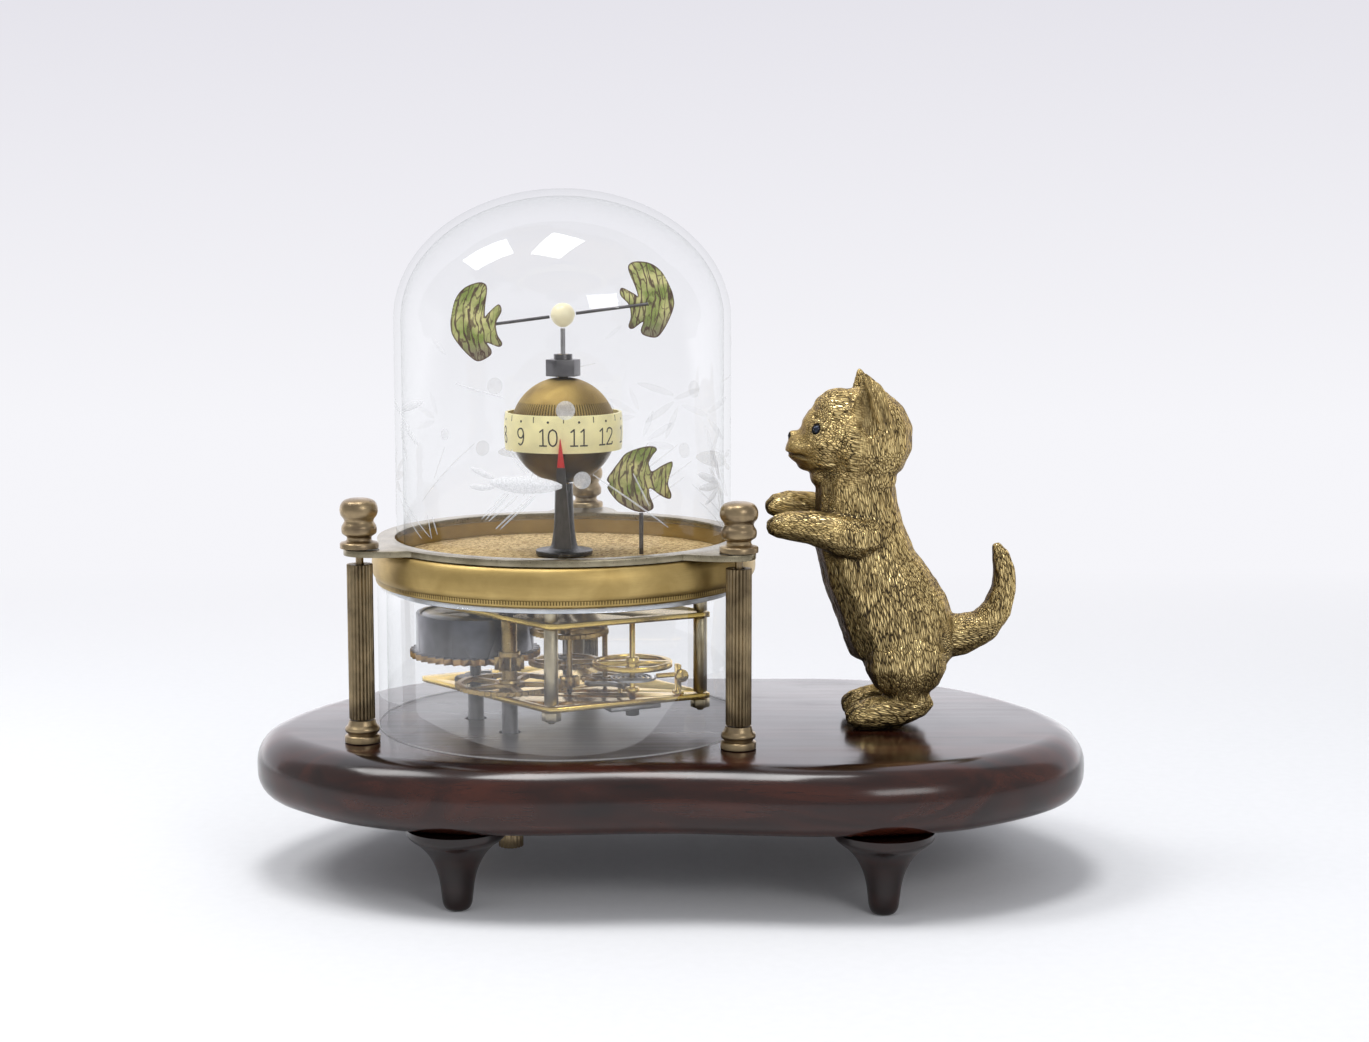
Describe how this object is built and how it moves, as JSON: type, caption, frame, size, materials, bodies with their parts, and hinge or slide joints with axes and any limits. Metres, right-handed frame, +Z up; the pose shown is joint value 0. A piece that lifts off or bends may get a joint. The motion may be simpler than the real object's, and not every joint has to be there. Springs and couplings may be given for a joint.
{
  "type": "automaton clock",
  "caption": "Mantel automaton clock: fish circle over a banded ball in a glass dome above an open geared movement on pillars, watched by a cat on a kidney-shaped wooden base.",
  "frame": {"origin": "on the table under the middle of the base's plan box", "axes": "+X from the dome towards the cat along the base, +Y away from the viewer, +Z up"},
  "size_m": [0.2318, 0.134, 0.1908],
  "materials": {
    "mahogany": "glossy lacquer over dark red-brown mahogany",
    "aged_brass": "antiqued satin brass",
    "brass": "satin brass",
    "pale_brass": "pale brushed brass",
    "bright_brass": "polished brass",
    "steel": "brushed",
    "dark_steel": "dark satin",
    "glass": "clear, polished",
    "sand": "golden sand bonded to a disc",
    "white_metal": "white satin",
    "black_paint": "satin black, red tip on the pointer",
    "dark_bronze": "dark bronze",
    "cream_paint": "cream enamel with black numerals",
    "ivory": "ivory",
    "fish_paint": "green with brown stripes",
    "gold_bronze": "gold bronze with darker hollows"
  },
  "bodies": {
    "case": {"wood_base": "mahogany", "foot_front_left": "mahogany", "foot_front_right": "mahogany", "foot_back_left": "mahogany", "foot_back_right": "mahogany", "pillar_collar_left": "brass", "pillar_collar_right": "brass", "pillar_collar_back": "brass", "pillar_column_left": "aged_brass", "pillar_column_right": "aged_brass", "pillar_column_back": "aged_brass", "pillar_finial_left": "brass", "pillar_finial_right": "brass", "pillar_finial_back": "brass", "bezel_ring": "brass", "flange_plate": "pale_brass", "sand_floor": "sand", "carrier_disc": "white_metal", "glass_dome": "glass", "lower_glass": "glass", "post": "black_paint", "ball_lower_half": "dark_bronze", "pointer": "black_paint", "fish_rod": "dark_steel", "fish_floor": "fish_paint", "lower_plate": "bright_brass", "upper_plate": "bright_brass", "plate_pillar_front": "brass", "plate_pillar_right": "brass", "plate_pillar_back": "brass", "regulator_bracket": "bright_brass", "balance_bridge": "steel", "cat_figure": "gold_bronze"},
    "fish_rotor": {"fish_spindle": "steel", "fourth_wheel": "brass", "bead": "ivory", "fish_arm_left": "dark_steel", "fish_arm_right": "dark_steel", "fish_left": "fish_paint", "fish_right": "fish_paint"},
    "third": {"third_wheel": "brass"},
    "centre": {"centre_wheel": "brass"},
    "going_barrel": {"barrel": "dark_steel", "barrel_lid": "steel", "mainspring": "steel"},
    "escape": {"escape_wheel": "brass"},
    "setting": {"setting_arbor": "steel", "setting_knob": "brass"},
    "minute": {"minute_wheel": "brass"},
    "hour": {"hour_wheel": "brass", "hour_band": "cream_paint", "ball_upper_half": "brass", "top_nut": "dark_steel"},
    "winding": {"barrel_arbor": "steel", "ratchet_wheel": "dark_steel", "winding_knob": "brass"},
    "click_pawl": {"click": "steel"},
    "lever": {"pallet_lever": "steel"},
    "balance": {"balance_wheel": "bright_brass", "hairspring": "steel"}
  },
  "joints": [
    {"name": "fish_rotor_spin", "type": "hinge", "parent": "case", "child": "fish_rotor", "pos_m": [-0.0297, -0.0025, 0.06], "axis": [0, 0, 1], "continuous": true},
    {"name": "third_spin", "type": "hinge", "parent": "case", "child": "third", "pos_m": [-0.02782, -0.01496, 0.06], "axis": [0, 0, 1], "continuous": true},
    {"name": "centre_spin", "type": "hinge", "parent": "case", "child": "centre", "pos_m": [-0.0442, -0.0195, 0.06], "axis": [0, 0, 1], "continuous": true},
    {"name": "barrel_spin", "type": "hinge", "parent": "case", "child": "going_barrel", "pos_m": [-0.05518, -0.00137, 0.06], "axis": [0, 0, 1], "continuous": true},
    {"name": "escape_spin", "type": "hinge", "parent": "case", "child": "escape", "pos_m": [-0.01829, -0.00621, 0.06], "axis": [0, 0, 1], "continuous": true},
    {"name": "setting_knob_turn", "type": "hinge", "parent": "case", "child": "setting", "pos_m": [-0.0442, -0.0195, 0.06], "axis": [0, 0, 1], "continuous": true},
    {"name": "minute_spin", "type": "hinge", "parent": "case", "child": "minute", "pos_m": [-0.03885, -0.0093, 0.06], "axis": [0, 0, 1], "continuous": true},
    {"name": "hour_band_spin", "type": "hinge", "parent": "case", "child": "hour", "pos_m": [-0.0297, -0.0025, 0.06], "axis": [0, 0, 1], "continuous": true},
    {"name": "winding_knob_turn", "type": "hinge", "parent": "case", "child": "winding", "pos_m": [-0.05518, -0.00137, 0.06], "axis": [0, 0, 1], "continuous": true},
    {"name": "click_pivot", "type": "hinge", "parent": "case", "child": "click_pawl", "pos_m": [-0.0528, 0.00751, 0.06], "axis": [0, 0, 1], "range_deg": [-12, 0]},
    {"name": "lever_rock", "type": "hinge", "parent": "case", "child": "lever", "pos_m": [-0.01384, -0.01516, 0.06], "axis": [0, 0, 1], "range_deg": [-4, 4]},
    {"name": "balance_swing", "type": "hinge", "parent": "case", "child": "balance", "pos_m": [-0.0102, -0.0225, 0.06], "axis": [0, 0, 1], "range_deg": [-150, 150], "stiffness_Nm_per_rad": 0.000035}
  ],
  "couplings": [
    {"joint": "third_spin", "follows": "fish_rotor_spin", "ratio": -0.2},
    {"joint": "centre_spin", "follows": "fish_rotor_spin", "ratio": 0.033333},
    {"joint": "barrel_spin", "follows": "fish_rotor_spin", "ratio": -0.0066667},
    {"joint": "escape_spin", "follows": "fish_rotor_spin", "ratio": -5},
    {"joint": "minute_spin", "follows": "setting_knob_turn", "ratio": -0.33333},
    {"joint": "hour_band_spin", "follows": "setting_knob_turn", "ratio": 0.083333}
  ]
}
